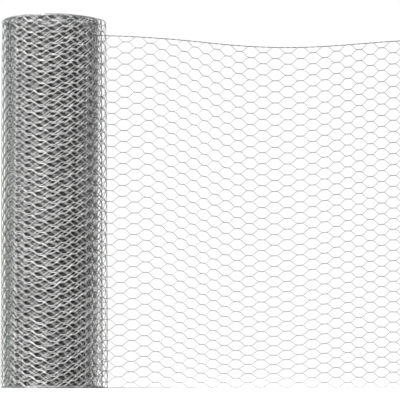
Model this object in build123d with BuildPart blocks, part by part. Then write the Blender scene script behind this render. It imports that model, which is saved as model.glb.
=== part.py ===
from build123d import *

import os
from math import cos, hypot, radians, sin

# A stock roll of hexagonal wire netting that stands on its end, with its free end drawn off to the right.
# Millimetres, +Z up along the roll. The origin is on the roll's axis, on the floor.

# The wound roll.
netting_width = 914.4
bore_radius = 50.0
tight_turns = 25
tight_turn_pitch = 2.64
loose_turns = 2
loose_turn_pitch = 6.75
tight_groove_depth = 1.4
loose_groove_depth = 6.0

# The netting: a twist is two wires wound about each other, and a diagonal is one wire.
wire = 1.0
twist_width = 2.0
twist_length = 13.5
column_spacing = 30.0
mesh_rows = 33

# The free end, in straight panels from the roll outwards: each one's columns, and its heading in degrees from +X.
drawn_height = 890.0
panel_columns = (6, 5, 5, 5, 5, 6)
panel_headings = (5.0, 17.0, 17.0, 5.0, -6.0, -9.0)
panel_gap = 0.3
seat_clearance = 0.3

tight_radius = bore_radius + tight_turns * tight_turn_pitch
roll_radius = tight_radius + loose_turns * loose_turn_pitch

os.makedirs("parts", exist_ok=True)


def end_profile():
    """The roll's end from the bore outwards, as (radius, depth below the end): a crest for each turn."""
    points = [(bore_radius, 0.0)]
    for turn in range(1, tight_turns + 1):
        crest = bore_radius + turn * tight_turn_pitch
        points.append((crest - tight_turn_pitch / 2, tight_groove_depth))
        points.append((crest, 0.0))
    for turn in range(1, loose_turns + 1):
        crest = tight_radius + turn * loose_turn_pitch
        points.append((crest - (loose_turn_pitch + twist_width) / 2, loose_groove_depth))
        points.append((crest - twist_width, 0.0))
        points.append((crest, 0.0))
    return points


# The wound netting: one solid turned about its axis, with a crest on both ends for every turn.
with BuildPart() as wound_roll:
    with BuildSketch(Plane.XZ):
        with BuildLine():
            Polyline(
                *[(radius, netting_width - depth) for radius, depth in end_profile()],
                *[(radius, depth) for radius, depth in reversed(end_profile())],
                close=True,
            )
        make_face()
    revolve(axis=Axis.Z)
wound_roll.part.label = "wound_roll"
export_step(wound_roll.part, "parts/wound_roll.step")


# The netting's openings. A cell's side is its right-hand corners from the bottom up, as (distance from the
# column's centre line, height above the twist's centre line), and its left-hand side is the same mirrored.
row_pitch = (drawn_height - twist_width) / mesh_rows
diagonal_run = column_spacing - twist_length
wire_inset = wire * hypot(diagonal_run, row_pitch / 2) / row_pitch
tip = column_spacing - twist_length / 2 - wire_inset
low = twist_width / 2
shoulder = twist_length / 2 + diagonal_run * twist_width / row_pitch - wire_inset
selvedge = row_pitch / 2 - twist_width / 2
selvedge_reach = shoulder + (tip - shoulder) * (selvedge - low) / (row_pitch / 2 - low)
whole_side = [(shoulder, low), (tip, row_pitch / 2), (shoulder, row_pitch - low)]
top_side = [(shoulder, low), (selvedge_reach, selvedge)]
bottom_side = [(selvedge_reach, -selvedge), (shoulder, -low)]


def column_sides(column):
    """The side of every cell in a column, bottom up. Odd columns stand half a row higher, between half cells."""
    if column % 2:
        cells = [(0.5, bottom_side)]
        cells += [(row + 0.5, whole_side) for row in range(mesh_rows - 1)]
        cells.append((mesh_rows - 0.5, top_side))
    else:
        cells = [(row, whole_side) for row in range(mesh_rows)]
    return [[(x, twist_width / 2 + rows * row_pitch + y) for x, y in side] for rows, side in cells]


def end_edge(column):
    """A panel's end from the bottom up, cut through its column's twists, as (distance inside the end, height)."""
    edge = []
    for side in column_sides(column):
        edge.append((panel_gap / 2, side[0][1]))
        edge += side
        edge.append((panel_gap / 2, side[-1][1]))
    return edge


def panel_face(first_column, columns):
    """A straight run of netting, flat, with its selvedges, its cells and half a twist left at each end."""
    length = columns * column_spacing
    left = panel_gap / 2
    right = length - panel_gap / 2
    right_end = [(length - x, y) for x, y in end_edge(first_column + columns)]
    left_end = list(reversed(end_edge(first_column)))
    outline = [(left, 0), (right, 0), *right_end, (right, drawn_height), (left, drawn_height), *left_end]
    cells = []
    for column in range(1, columns):
        centre = column * column_spacing
        for side in column_sides(first_column + column):
            corners = [(centre + x, y) for x, y in side] + [(centre - x, y) for x, y in reversed(side)]
            cells.append(Wire.make_polygon(corners, close=True))
    return Face(Wire.make_polygon(outline, close=True), cells)


# The free end: a chain of panels that leaves the roll along its tangent, each with its lower edge on the floor.
seat_radius = roll_radius + seat_clearance + twist_width / 2
start = radians(panel_headings[0])
corner = Vector(-seat_radius * sin(start), seat_radius * cos(start), 0)
first_column = 0
for number, (columns, degrees) in enumerate(zip(panel_columns, panel_headings), 1):
    heading = radians(degrees)
    along = Vector(cos(heading), sin(heading), 0)
    upright = Plane(origin=corner, x_dir=along, z_dir=(sin(heading), -cos(heading), 0))
    with BuildPart() as drawn_netting:
        with BuildSketch(upright.offset(-twist_width / 2)):
            add(panel_face(first_column, columns))
        extrude(amount=twist_width)
    drawn_netting.part.label = f"drawn_netting_{number}"
    export_step(drawn_netting.part, f"parts/drawn_netting_{number}.step")
    corner += along * (columns * column_spacing)
    first_column += columns
print("free end reaches", corner)
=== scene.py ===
from math import atan, ceil, cos, pi, radians, sin

import bpy
import numpy as np
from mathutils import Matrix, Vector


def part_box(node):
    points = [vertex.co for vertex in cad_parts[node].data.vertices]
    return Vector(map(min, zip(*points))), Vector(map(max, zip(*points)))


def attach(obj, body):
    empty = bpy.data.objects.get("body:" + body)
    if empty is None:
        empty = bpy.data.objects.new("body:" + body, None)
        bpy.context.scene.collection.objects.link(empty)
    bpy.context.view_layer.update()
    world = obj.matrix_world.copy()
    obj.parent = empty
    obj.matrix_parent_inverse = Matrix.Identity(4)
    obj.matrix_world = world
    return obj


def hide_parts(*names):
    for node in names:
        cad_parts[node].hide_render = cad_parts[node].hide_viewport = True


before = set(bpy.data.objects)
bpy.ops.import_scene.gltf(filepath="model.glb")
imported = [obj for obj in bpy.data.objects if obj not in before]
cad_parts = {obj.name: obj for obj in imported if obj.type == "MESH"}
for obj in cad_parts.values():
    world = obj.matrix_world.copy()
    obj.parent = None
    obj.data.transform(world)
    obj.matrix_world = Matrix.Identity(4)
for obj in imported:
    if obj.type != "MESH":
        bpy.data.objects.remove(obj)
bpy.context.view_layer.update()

# A stock roll of galvanised hexagonal wire netting that stands on its end, with its free end drawn off to the
# right. Metres. The roll's axis is the Z axis, and the photograph looks along +Y, with -X at its left.
# The netting is one strip, laid out flat by the distance along it from where it leaves the roll: the wound
# turns lie before 0, and the free end after it. Then it is bent along its route, which winds round the bore.
# A pair of numbers is a stretch, of the strip or of an axis, over which something sets in.

roll_low, roll_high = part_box("wound_roll")

# The wound roll.
roll_height = roll_high[2] - roll_low[2]
bore_radius = 0.050
tight_turns = 25
tight_turn_pitch = 0.00264
loose_turns = 2
loose_turn_pitch = 0.00675
wound_turns = tight_turns + loose_turns
steps_per_turn = 90

# The netting: a twist is two wires wound about each other, and a diagonal is one wire.
wire = 0.0010
twist_length = 0.0135
twist_half_turns = 3
selvedge_half_turns = 4
diagonal_bend = 0.7
column_spacing = 0.030
mesh_rows = 32.5
row_pitch = (roll_height - 2 * wire) / mesh_rows
selvedge_inset = 1.15 * wire
free_columns = 32

# Soft wire wanders a little.
wander_scale = 22.0
free_wander = 0.0016
wound_wander = 0.0010

# The loose turns lean to the right, where they come loose earlier, and flare out at their foot.
loose_lean = 0.008
loosening_turns = 1.8
early_turns = 0.7
left_lean_share = 0.5
right_flare = 0.0075
right_flare_x = (0.112, 0.131)
left_flare = 0.003
left_flare_x = (-0.108, -0.118)
flare_end = (-0.4, -0.2)

# Each turn has slipped a little up or down. Its columns nearly line up with the next turn's: the shifts are
# how far off they are, from the outermost turn inwards, and deeper turns take theirs in rotation.
turn_slip = 0.006
slip_scale = 1.1
slip_end = (-0.15, 0.05)
turn_drift = 0.004
drift_scale = 1.7
drift_end = (-0.3, 0.0)
outer_shifts = (0.0, 0.006, -0.003, 0.009, 0.002, -0.006, 0.012)
deep_shifts = (0.021, -0.012, 0.030, 0.008, -0.022, 0.015, -0.004)
largest_shift = 0.1

# The free end's route: the columns and headings of the frame's panels, followed as one smooth curve.
panel_columns = (6, 5, 5, 5, 5, 6)
panel_headings = (5.0, 17.0, 17.0, 5.0, -6.0, -9.0)
route_stride = 0.006

# The free end's height, which sags in the middle of its length.
free_height = 0.898
height_change = (-0.12, 0.12)
free_height_sag = 0.016
sag_stretch = (0.05, 1.2)

# Its rows slump between the selvedges, by these shares of the height, and its lower rows more than the rest.
row_slump = 0.012
first_slump = (-0.4, 0.0)
second_slump = (0.25, 0.50)
low_slump_at_roll = 0.004
low_slump = 0.022
low_slump_start = (0.22, 0.50)
low_slump_end = (0.58, 0.80)
low_slump_rebound = 1.3

# Its columns lag, then gain with the distance, with a slow wave, and their feet lag behind.
column_start = (-0.1, 0.2)
column_lag = 0.023756
column_gain = 0.0236
column_wave = 0.0043
column_wave_length = 0.417
column_wave_start = 0.2
foot_lag = 0.020
foot_lag_end = (0.1, 0.8)
foot_lag_lost = 0.75

# How a module runs along the strip, which is kept on its points for the zinc's painted glints, which light
# one lean of wire and leave the other dark.
rising_lean = 1.0
falling_lean = -1.0
level_lean = 0.0
selvedge_lean = 3.0

# The photograph's frame, in its own pixels, and the camera that takes it.
photo_side = 400
roll_centre_pixel = 51.0
horizon_pixel = 375.9
metres_per_pixel = 0.00247
camera_distance = 5.6
camera_height = 0.03
sensor_width = 36.0

# The lamps: each one's power, place and heading.
soft_lamps = {
    "soft_lamp": (295, (-1.6, -3.0, 2.2), -30),
    "back_lamp": (20, (1.6, 3.4, 2.4), 150),
}
lamp_size = 1.6
lamp_tilt = 62


class Value:
    """A node's output socket, with the operators that Python's numbers have."""

    def __init__(self, tree, socket):
        self.tree = tree
        self.socket = socket

    def math(self, operation, *others):
        """A Math node on this value and others."""
        return add(self.tree, "ShaderNodeMath", {"operation": operation}, dict(enumerate((self, *others))))

    def __add__(self, other):
        return self.math("ADD", other)

    def __sub__(self, other):
        return self.math("SUBTRACT", other)

    def __rsub__(self, other):
        return add(self.tree, "ShaderNodeMath", {"operation": "SUBTRACT"}, {0: other, 1: self})

    def __mul__(self, other):
        return self.math("MULTIPLY", other)

    def __truediv__(self, other):
        return self.math("DIVIDE", other)

    __radd__ = __add__
    __rmul__ = __mul__

    def eased(self, start, end):
        """A smooth step, from 0 where this value is at the start to 1 where it is at the end."""
        return add(
            self.tree, "ShaderNodeMapRange", {"interpolation_type": "SMOOTHSTEP"},
            {"Value": self, "From Min": start, "From Max": end},
        )

    def part(self, name):
        """A vector's X, Y or Z."""
        return add(self.tree, "ShaderNodeSeparateXYZ", {}, {0: self}, name)


def add(tree, kind, settings=None, inputs=None, output=0):
    """Adds a node, sets its settings and then its inputs, and returns one of its outputs as a Value."""
    node = tree.nodes.new(kind)
    for name, setting in (settings or {}).items():
        setattr(node, name, setting)
    for name, value in (inputs or {}).items():
        socket = node.inputs[name]
        if isinstance(value, Value):
            tree.links.new(value.socket, socket)
        elif isinstance(value, list):
            for one in value:
                tree.links.new(one.socket, socket)
        else:
            socket.default_value = value
    return Value(tree, node.outputs[output])


def mix(factor, first, second, blend="MIX"):
    """A colour from the first to the second, or to their product, as the factor goes from 0 to 1."""
    return add(
        factor.tree, "ShaderNodeMix", {"data_type": "RGBA", "blend_type": blend},
        {"Factor": factor, 6: first, 7: second}, 2,
    )


def link(item):
    """Puts an object in the scene and returns it."""
    bpy.context.scene.collection.objects.link(item)
    return item


def strip_route():
    """The strip's centre line seen from above, as (x, y), from the bore to the free end's cut edge."""
    leave = pi / 2 + radians(panel_headings[0])
    points = []
    for index in range(wound_turns * steps_per_turn + 1):
        wound = index / steps_per_turn
        angle = leave + (wound_turns - wound) * 2 * pi
        radius = bore_radius + wire + min(wound, tight_turns) * tight_turn_pitch
        radius += max(0.0, wound - tight_turns) * loose_turn_pitch
        early, side = (early_turns, 1.0) if cos(angle) > 0 else (0.0, left_lean_share)
        loosened = float(np.clip((wound - tight_turns + early) / loosening_turns, 0, 1))
        radius += loose_lean * loosened * loosened * (3 - 2 * loosened) * side * cos(angle)
        points.append((radius * cos(angle), radius * sin(angle)))
    ends = np.cumsum(panel_columns) * column_spacing
    middles = ends - np.array(panel_columns) * column_spacing / 2
    x, y = points[-1]
    for index in range(ceil((free_columns + 0.5) * column_spacing / route_stride)):
        heading = radians(float(np.interp((index + 0.5) * route_stride, middles, panel_headings)))
        x += route_stride * cos(heading)
        y += route_stride * sin(heading)
        points.append((x, y))
    return points


def turn_shifts(turn_ends):
    """For each turn's end, how far the netting moves along the strip so that the columns nearly line up."""
    shifts = []
    column_pair = 2 * column_spacing
    along = 0.0
    for number, end in enumerate(reversed(turn_ends)):
        if number:
            along -= max(1, round((along - end) / column_pair)) * column_pair
        rotation = outer_shifts if number < len(outer_shifts) else deep_shifts
        shifts.append((along, end - along + rotation[number % len(rotation)]))
    return list(reversed(shifts))


def route_object(points):
    """The route as a curve of straight segments."""
    data = bpy.data.curves.new("strip_route", "CURVE")
    data.dimensions = "3D"
    spline = data.splines.new("POLY")
    spline.points.add(len(points) - 1)
    for point, (x, y) in zip(spline.points, points):
        point.co = (x, y, 0, 1)
    return bpy.data.objects.new("strip_route", data)


def tube_mesh(lines, radius, sides):
    """Closed tubes about lines of points that run along X, as wide on average as round ones would be."""
    radius *= pi / (sides * sin(pi / sides))
    vertices = []
    faces = []
    for line in lines:
        line = np.array(line, float)
        base = len(vertices)
        tangents = np.gradient(line, axis=0)
        for point, tangent in zip(line, tangents):
            tangent = tangent / np.linalg.norm(tangent)
            across = np.cross(tangent, (0, 1, 0))
            across /= np.linalg.norm(across)
            other = np.cross(across, tangent)
            for side in range(sides):
                angle = 2 * pi * (side + 0.5) / sides
                vertices.append(tuple(point + radius * (cos(angle) * across + sin(angle) * other)))
        for ring in range(len(line) - 1):
            for side in range(sides):
                low = base + ring * sides
                following = (side + 1) % sides
                faces.append((low + side, low + sides + side, low + sides + following, low + following))
        last = base + (len(line) - 1) * sides
        faces.append(tuple(base + side for side in range(sides)))
        faces.append(tuple(last + side for side in reversed(range(sides))))
    return vertices, faces


def strand(start, end, half_turns, phase, segments):
    """One wire of a twisted pair along X, as points (along, out of the sheet, up)."""
    points = []
    for index in range(segments + 1):
        share = index / segments
        angle = phase + pi * half_turns * share
        points.append((start + (end - start) * share, wire / 2 * sin(angle), wire / 2 * cos(angle)))
    return points


def diagonal(direction, segments):
    """One wire from a twist's end to the next column's, half a row up or down, bent at both ends."""
    start = twist_length / 2 - wire
    run = column_spacing - twist_length + 2 * wire
    points = []
    for index in range(segments + 1):
        share = index / segments
        bent = share - diagonal_bend * sin(2 * pi * share) / (2 * pi)
        lift = wire / 2 + (row_pitch / 2 - wire) * bent
        points.append((start + run * share, 0, direction * lift))
    return points


def module_object(name, lines, radius, sides, lean):
    """A module's tubes, with its lean on every point."""
    vertices, faces = tube_mesh(lines, radius, sides)
    mesh = bpy.data.meshes.new(name)
    mesh.from_pydata(vertices, [], faces)
    leans = mesh.attributes.new("lean", "FLOAT", "POINT")
    leans.data.foreach_set("value", [lean] * len(vertices))
    return link(bpy.data.objects.new(name, mesh))


def modules(detail, sides, twist_segments, diagonal_segments):
    """The netting's repeated pieces: the twist, the two diagonals to its right, and a stretch of selvedge."""
    half = twist_length / 2
    pair = [strand(-half, half, twist_half_turns, phase, twist_segments) for phase in (0, pi)]
    pair_radius = wire / 2
    if twist_segments == 1:
        pair = [[(-half, 0, 0), (half, 0, 0)]]
        pair_radius = wire * 0.75
    edge = [
        strand(-column_spacing, column_spacing, selvedge_half_turns, phase, 4 * twist_segments)
        for phase in (0, pi)
    ]
    rising = [diagonal(1, diagonal_segments)]
    falling = [diagonal(-1, diagonal_segments)]
    return {
        "Twist": module_object(f"twist_{detail}", pair, pair_radius, sides, level_lean),
        "Rising diagonal": module_object(f"rising_{detail}", rising, wire / 2, sides, rising_lean),
        "Falling diagonal": module_object(f"falling_{detail}", falling, wire / 2, sides, falling_lean),
        "Selvedge": module_object(f"selvedge_{detail}", edge, wire / 2, sides, selvedge_lean),
    }


def flat_netting(tree, given):
    """The netting laid flat in the XZ plane: a module at each twist, and the selvedges along both edges."""
    # One point for each twist. A column of even number stands half a row higher, up to the top selvedge.
    rows = ceil(mesh_rows)
    pitch = given("Row pitch")
    twists = add(tree, "GeometryNodeMeshLine", {}, {"Count": given("Columns") * rows, "Offset": (0, 0, 0)})
    index = add(tree, "GeometryNodeInputIndex")
    in_order = ((index + 0.5) / rows).math("FLOOR")
    column = in_order + given("First column")
    odd = column.math("FLOORED_MODULO", 2.0)
    height = (index - in_order * rows + (1 - odd) * 0.5) * pitch
    place = add(tree, "ShaderNodeCombineXYZ", {}, {"X": column * given("Column spacing"), "Z": height})
    twists = add(tree, "GeometryNodeSetPosition", {}, {"Geometry": twists, "Position": place})
    z = add(tree, "GeometryNodeInputPosition").part("Z")

    def placed(name, low, high):
        """A module at each twist between two heights."""
        over = add(tree, "FunctionNodeCompare", {"operation": "GREATER_THAN"}, {0: z, 1: low})
        under = add(tree, "FunctionNodeCompare", {"operation": "LESS_THAN"}, {0: z, 1: high})
        both = add(tree, "FunctionNodeBooleanMath", {"operation": "AND"}, {0: over, 1: under})
        module = add(tree, "GeometryNodeObjectInfo", {}, {"Object": given(name)}, "Geometry")
        return add(
            tree, "GeometryNodeInstanceOnPoints", {},
            {"Points": twists, "Selection": both, "Instance": module},
        )

    top = pitch * mesh_rows
    margin = pitch / 4
    parts = [
        placed("Twist", 0 - margin, top + margin),
        placed("Rising diagonal", 0 - margin, top - margin),
        placed("Falling diagonal", margin, top + margin),
        placed("Selvedge", 0 - margin, margin),
        placed("Selvedge", top - margin, top + margin),
    ]
    joined = add(tree, "GeometryNodeJoinGeometry", {}, {"Geometry": parts})
    return add(tree, "GeometryNodeRealizeInstances", {}, {"Geometry": joined})


def shift_curve(tree, share, wound_length, shifts):
    """A point's shift from its share of the wound length, in a straight line between the turns' ends."""
    shift = add(tree, "ShaderNodeFloatCurve", {}, {"Value": share})
    mapping = shift.socket.node.mapping
    mapping.extend = "HORIZONTAL"
    curve = mapping.curves[0]
    while len(curve.points) < len(shifts):
        curve.points.new(0, 0)
    for point, (distance, length) in zip(curve.points, shifts):
        point.location = (distance / wound_length + 1, 0.5 + length / (2 * largest_shift))
        point.handle_type = "VECTOR"
    mapping.update()
    return (shift - 0.5) * (2 * largest_shift)


def bent_place(tree, given, wound_length, shifts):
    """Where a point of the flat netting goes: within the sheet, as soft wire gives, then round the roll."""
    position = add(tree, "GeometryNodeInputPosition")
    along, out, up = (position.part(name) for name in "XYZ")
    wander = add(
        tree, "ShaderNodeTexNoise", {"noise_dimensions": "3D"},
        {"Vector": position, "Scale": wander_scale, "Detail": 1.0}, "Color",
    )
    wander = add(tree, "ShaderNodeVectorMath", {"operation": "SUBTRACT"}, {0: wander, 1: (0.5, 0.5, 0.5)})
    wander = add(tree, "ShaderNodeVectorMath", {"operation": "SCALE"}, {0: wander, "Scale": given("Wander")})
    wander_along, wander_out, wander_up = (wander.part(name) for name in "XYZ")

    def noise(scale):
        """Noise that changes along the strip."""
        return add(
            tree, "ShaderNodeTexNoise", {"noise_dimensions": "1D"},
            {"W": along, "Scale": scale, "Detail": 0.0},
        )

    # Up the sheet. The share is 0 at the lower selvedge and 1 at the upper one.
    share = up / (given("Row pitch") * mesh_rows)
    at_roll = along.eased(*first_slump)
    slump = (at_roll + along.eased(*second_slump)) * row_slump
    lower = along.eased(*low_slump_start) * (1 - along.eased(*low_slump_end) * low_slump_rebound) * low_slump
    lower = lower + at_roll * low_slump_at_roll
    share = share - (slump + lower * (1 - share) * (1 - share)) * (share * pi).math("SINE")
    from_top = 1 - share
    inside = share * from_top * 4
    slip = noise(slip_scale).eased(0.25, 0.75) * (1 - along.eased(*slip_end)) * turn_slip
    drift = (noise(drift_scale) - 0.5) * (1 - along.eased(*drift_end)) * turn_drift
    sag = (along.eased(*sag_stretch) * pi).math("SINE")
    wound_height = given("Roll height") - turn_slip
    tall = wound_height + along.eased(*height_change) * (given("Free height") - wound_height)
    tall = tall - sag * sag * free_height_sag
    up = share * (tall - 2 * selvedge_inset) + selvedge_inset + slip + (wander_up + drift) * inside

    # Along the sheet.
    wave = ((along - column_wave_start) * (2 * pi / column_wave_length)).math("SINE") * column_wave
    feet = from_top * (1 - along.eased(*foot_lag_end) * foot_lag_lost) * foot_lag
    moved = (wave + along * column_gain - column_lag - feet) * along.eased(*column_start)
    moved = moved + shift_curve(tree, along / wound_length + 1, wound_length, shifts)
    along = along + moved + wander_along

    # Bending: the distance along the strip is the distance along the route.
    route = add(tree, "GeometryNodeObjectInfo", {}, {"Object": given("Route")}, "Geometry")
    sampling = {"mode": "LENGTH", "use_all_curves": True}
    where = {"Curves": route, "Length": along + wound_length}
    on_route = add(tree, "GeometryNodeSampleCurve", sampling, where, "Position")
    tangent = add(tree, "GeometryNodeSampleCurve", sampling, where, "Tangent")
    outward = add(tree, "ShaderNodeVectorMath", {"operation": "CROSS_PRODUCT"}, {0: (0, 0, 1), 1: tangent})
    outward = add(
        tree, "ShaderNodeVectorMath", {"operation": "SCALE"}, {0: outward, "Scale": out + wander_out}
    )
    place = add(tree, "ShaderNodeVectorMath", {"operation": "ADD"}, {0: on_route, 1: outward})
    x = place.part("X")
    flare = x.eased(*right_flare_x) * (1 - along.eased(*flare_end)) * right_flare
    flare = (flare + x.eased(*left_flare_x) * left_flare) * from_top
    rise = add(tree, "ShaderNodeCombineXYZ", {}, {"X": flare, "Z": up})
    return add(tree, "ShaderNodeVectorMath", {"operation": "ADD"}, {0: place, 1: rise})


def netting_tree(wound_length, shifts):
    """Lays out the netting flat, a module at each twist, then bends it along the strip's route."""
    tree = bpy.data.node_groups.new("netting", "GeometryNodeTree")
    sizes = ("Column spacing", "Row pitch", "Roll height", "Free height", "Wander")
    sockets = {
        "Geometry": "NodeSocketGeometry", "Route": "NodeSocketObject", "Twist": "NodeSocketObject",
        "Rising diagonal": "NodeSocketObject", "Falling diagonal": "NodeSocketObject",
        "Selvedge": "NodeSocketObject", "First column": "NodeSocketInt", "Columns": "NodeSocketInt",
        **{name: "NodeSocketFloat" for name in sizes}, "Material": "NodeSocketMaterial",
    }
    for name, kind in sockets.items():
        tree.interface.new_socket(name, in_out="INPUT", socket_type=kind)
    tree.interface.new_socket("Geometry", in_out="OUTPUT", socket_type="NodeSocketGeometry")
    entry = tree.nodes.new("NodeGroupInput")

    def given(name):
        return Value(tree, entry.outputs[name])

    flat = flat_netting(tree, given)
    place = bent_place(tree, given, wound_length, shifts)
    bent = add(tree, "GeometryNodeSetPosition", {}, {"Geometry": flat, "Position": place})
    shaded = add(tree, "GeometryNodeSetShadeSmooth", {}, {"Geometry": bent})
    finished = add(tree, "GeometryNodeSetMaterial", {}, {"Geometry": shaded, "Material": given("Material")})
    leave = tree.nodes.new("NodeGroupOutput")
    tree.links.new(finished.socket, leave.inputs["Geometry"])
    return tree


def netting_piece(name, tree, values):
    """The tree's result with these inputs, as a plain mesh that rides on the roll."""
    carrier = link(bpy.data.objects.new(f"{name}_carrier", bpy.data.meshes.new(f"{name}_carrier")))
    modifier = carrier.modifiers.new("netting", "NODES")
    modifier.node_group = tree
    for item in tree.interface.items_tree:
        if item.in_out == "INPUT" and item.name in values:
            modifier[item.identifier] = values[item.name]
    evaluated = carrier.evaluated_get(bpy.context.evaluated_depsgraph_get())
    mesh = bpy.data.meshes.new_from_object(evaluated)
    mesh.name = name
    bpy.data.objects.remove(carrier)
    piece = link(bpy.data.objects.new(name, mesh))
    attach(piece, "root")
    return piece


def zinc():
    """Dull galvanised wire, bright with painted glints on the roll's front, with painted shade within it and
    on its limbs, and painted glints and painted shade on the free end.
    """
    glint_zinc = (1.0, 1.0, 1.0, 1)
    pale_zinc = (0.66, 0.67, 0.66, 1)
    shaded_green_zinc = (0.34, 0.37, 0.35, 1)
    deep_shaded_green_zinc = (0.03, 0.045, 0.035, 1)
    shaded_zinc = (0.23, 0.234, 0.23, 1)
    right_limb_shade_zinc = (0.06, 0.061, 0.06, 1)
    selvedge_zinc = (0.42, 0.43, 0.42, 1)
    inner_shade_zinc = (0.05, 0.053, 0.05, 1)
    drawn_zinc = (0.45, 0.46, 0.45, 1)
    deep_shade_zinc = (0.01, 0.01, 0.01, 1)
    foot_zinc = (0.85, 0.85, 0.85, 1)
    spangle_zinc = (0.12, 0.125, 0.12, 1)
    spangle_scale = 420.0
    spangle_share = 0.65
    patch_scale = 9.0
    left_limb = (-0.080, -0.108)
    roll_middle = (-0.055, 0.035)
    right_shade = (0.090, 0.112)
    right_limb = (0.113, 0.121)
    band_start = (0.215, 0.255)
    band_end = (0.45, 0.51)
    far_shade = (0.36, 0.50)
    farthest_shade = (0.64, 0.76)
    outer_radii = (0.098, 0.118)
    radii_past_roll = (0.144, 0.152)
    rim_heights = (0.885, 0.905)
    rim_light = 0.28
    foot_heights = (0.02, 0.01)

    material = bpy.data.materials.new("galvanised_zinc")
    material.use_nodes = True
    tree = material.node_tree
    tree.nodes.clear()
    place = add(tree, "ShaderNodeTexCoord", {}, {}, "Object")
    x, y, z = (place.part(name) for name in "XYZ")
    radius = (x * x + y * y).math("SQRT")
    patches = add(tree, "ShaderNodeTexNoise", {}, {"Vector": place, "Scale": patch_scale, "Detail": 3.0})
    spangle = add(tree, "ShaderNodeTexNoise", {}, {"Vector": place, "Scale": spangle_scale, "Detail": 2.0})
    dull = (patches * (1 - spangle_share) + spangle * spangle_share).eased(0.40, 0.60)

    # Painted glints: wires that lean one way are painted brighter than the others, and in the next band it is
    # the other way round.
    mark = add(tree, "ShaderNodeAttribute", {"attribute_name": "lean"}, {}, "Fac")
    selvedge = mark.eased(rising_lean + 0.5, selvedge_lean - 0.5)
    lean = mark * (1 - selvedge)
    roll_lit = 0.5 - lean * (x.eased(*roll_middle) - 0.5)
    free_lit = 0.5 + lean * (x.eased(*band_start) - x.eased(*band_end) - 0.5) - selvedge * 0.35

    # The roll: its front with painted glints, painted shade on its right and left limbs, its selvedges, and
    # then painted shade on its inner turns, with painted light near the top rim.
    outer = mix(roll_lit, pale_zinc, glint_zinc)
    # Painted shade on the right side of the roll, deepening towards its limb.
    outer = mix(x.eased(*right_shade), outer, shaded_zinc)
    outer = mix(x.eased(*right_limb), outer, right_limb_shade_zinc)
    # Painted shade on the left limb, in the wire's greenish tone, with the same painted glints.
    outer = mix(x.eased(*left_limb), outer, mix(roll_lit, deep_shaded_green_zinc, shaded_green_zinc))
    outer = mix(selvedge, outer, selvedge_zinc)
    # Painted shade on the inner turns, lifted by painted light near the top rim; the same mask raises the
    # metallic.
    outer_and_rim_lit = radius.eased(*outer_radii).math("MAXIMUM", z.eased(*rim_heights) * rim_light)
    wound = mix(outer_and_rim_lit, inner_shade_zinc, outer)

    # The free end: painted glints, then painted shade in two steps away from the roll, with a bright foot.
    drawn = mix(free_lit * free_lit, deep_shade_zinc, drawn_zinc)
    drawn = mix(x.eased(*far_shade) * 0.6 + x.eased(*farthest_shade) * 0.4, drawn, deep_shade_zinc)
    drawn = mix(selvedge * z.eased(*foot_heights), drawn, foot_zinc)

    colour = mix(radius.eased(*radii_past_roll), wound, drawn)
    colour = mix(dull * 0.45, colour, spangle_zinc, "MULTIPLY")
    bump = add(tree, "ShaderNodeBump", {}, {"Height": spangle, "Strength": 0.25, "Distance": 0.0002})
    shader = add(
        tree, "ShaderNodeBsdfPrincipled", {},
        {"Base Color": colour, "Metallic": outer_and_rim_lit * 0.7 + 0.2, "Roughness": dull * 0.25 + 0.38,
         "Normal": bump},
    )
    output = tree.nodes.new("ShaderNodeOutputMaterial")
    tree.links.new(shader.socket, output.inputs["Surface"])
    return material


def white_floor():
    """A floor that lights the netting as pale paint does, and that the camera sees as plain white."""
    pale = (0.95, 0.95, 0.95, 1)
    seen_paint = (0.07, 0.07, 0.07, 1)
    seen_glow = (0.96, 0.96, 0.96, 1)
    reach = 60.0
    corners = [(-reach, -reach, 0), (reach, -reach, 0), (reach, reach, 0), (-reach, reach, 0)]
    mesh = bpy.data.meshes.new("floor")
    mesh.from_pydata(corners, [], [(0, 1, 2, 3)])
    floor = link(bpy.data.objects.new("floor", mesh))
    paint = bpy.data.materials.new("white_floor")
    paint.use_nodes = True
    tree = paint.node_tree
    tree.nodes.clear()
    seen = add(tree, "ShaderNodeLightPath", {}, {}, "Is Camera Ray")
    shader = add(
        tree, "ShaderNodeBsdfPrincipled", {},
        {"Base Color": mix(seen, pale, seen_paint), "Roughness": 0.9,
         "Emission Color": mix(seen, (0, 0, 0, 1), seen_glow), "Emission Strength": 1.0},
    )
    output = tree.nodes.new("ShaderNodeOutputMaterial")
    tree.links.new(shader.socket, output.inputs["Surface"])
    floor.data.materials.append(paint)


def white_surroundings():
    """Plain white where they are seen or mirrored, and a dimmer light on what they shine on."""
    dim = 0.25
    world = bpy.data.worlds.new("studio")
    bpy.context.scene.world = world
    world.use_nodes = True
    tree = world.node_tree
    tree.nodes.clear()
    rays = ("Is Camera Ray", "Is Glossy Ray", "Is Transmission Ray")
    seen, glossy, through = (add(tree, "ShaderNodeLightPath", {}, {}, ray) for ray in rays)
    white = seen.math("MAXIMUM", glossy.math("MAXIMUM", through))
    background = add(
        tree, "ShaderNodeBackground", {}, {"Color": (1, 1, 1, 1), "Strength": white * (1 - dim) + dim}
    )
    output = tree.nodes.new("ShaderNodeOutputWorld")
    tree.links.new(background.socket, output.inputs["Surface"])


def photo_camera():
    """A camera in front of the roll, near the floor, tilted up so that it takes the photograph's frame."""
    focal_pixels = camera_distance / metres_per_pixel
    data = bpy.data.cameras.new("camera")
    data.sensor_width = sensor_width
    data.lens = sensor_width * focal_pixels / photo_side
    across = (photo_side / 2 - roll_centre_pixel) * metres_per_pixel
    camera = link(bpy.data.objects.new("camera", data))
    camera.location = (across, -camera_distance, camera_height)
    camera.rotation_euler = (pi / 2 + atan((horizon_pixel - photo_side / 2) / focal_pixels), 0, 0)
    bpy.context.scene.camera = camera


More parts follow.
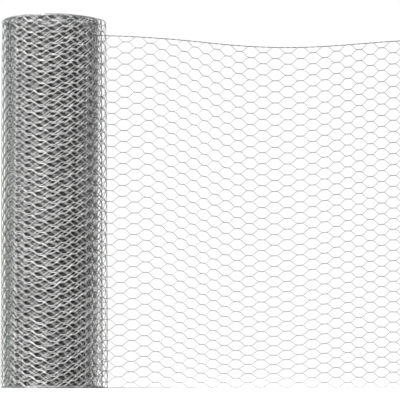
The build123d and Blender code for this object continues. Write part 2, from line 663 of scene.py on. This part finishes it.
# The strip's route, and the distance along the strip at which each turn ends, from the bore outwards.
points = strip_route()
distances = np.concatenate([[0], np.cumsum(np.linalg.norm(np.diff(points, axis=0), axis=1))])
wound_length = float(distances[wound_turns * steps_per_turn])
turn_ends = distances[:wound_turns * steps_per_turn + 1:steps_per_turn] - wound_length
route = link(route_object(points))
tree = netting_tree(wound_length, turn_shifts(turn_ends))
galvanised = zinc()
fine = modules("fine", 4, 6, 4)
medium = modules("medium", 3, 4, 2)
plain = modules("plain", 3, 1, 1)

# The netting is cut by columns into the free end and runs of turns, with plainer wires towards the bore. The
# first column is left out, because its wires would reach past the route's start.
turn_columns = [-int(-end / column_spacing) for end in turn_ends]
turn_columns[0] += 1
cuts = {
    "tight_core": (plain, 0, 13),
    "tight_middle": (plain, 13, 20),
    "tight_outer_turns_1": (medium, 20, 23),
    "tight_outer_turns_2": (medium, 23, 25),
    "loose_turns": (medium, 25, 27),
}
pieces = {"free_end": (fine, 0, free_columns, free_wander)}
for name, (wires, first_turn, last_turn) in cuts.items():
    start = turn_columns[first_turn]
    pieces[name] = (wires, start, turn_columns[last_turn] - start, wound_wander)
for name, (wires, start, columns, wander) in pieces.items():
    values = {
        "Route": route, "First column": start, "Columns": columns, "Column spacing": column_spacing,
        "Row pitch": row_pitch, "Roll height": roll_height, "Free height": free_height, "Wander": wander,
        "Material": galvanised, **wires,
    }
    netting_piece(name, tree, values)
for helper in (*fine.values(), *medium.values(), *plain.values(), route):
    bpy.data.objects.remove(helper)

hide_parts("wound_roll")
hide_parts(*[f"drawn_netting_{number + 1}" for number in range(len(panel_columns))])

photo_camera()
white_floor()
white_surroundings()
for name, (power, place, heading) in soft_lamps.items():
    lamp_data = bpy.data.lights.new(name, "AREA")
    lamp_data.shape = "DISK"
    lamp_data.size = lamp_size
    lamp_data.energy = power
    lamp = link(bpy.data.objects.new(name, lamp_data))
    lamp.location = place
    lamp.rotation_euler = (radians(lamp_tilt), 0, radians(heading))

bpy.context.scene.view_settings.view_transform = "Standard"
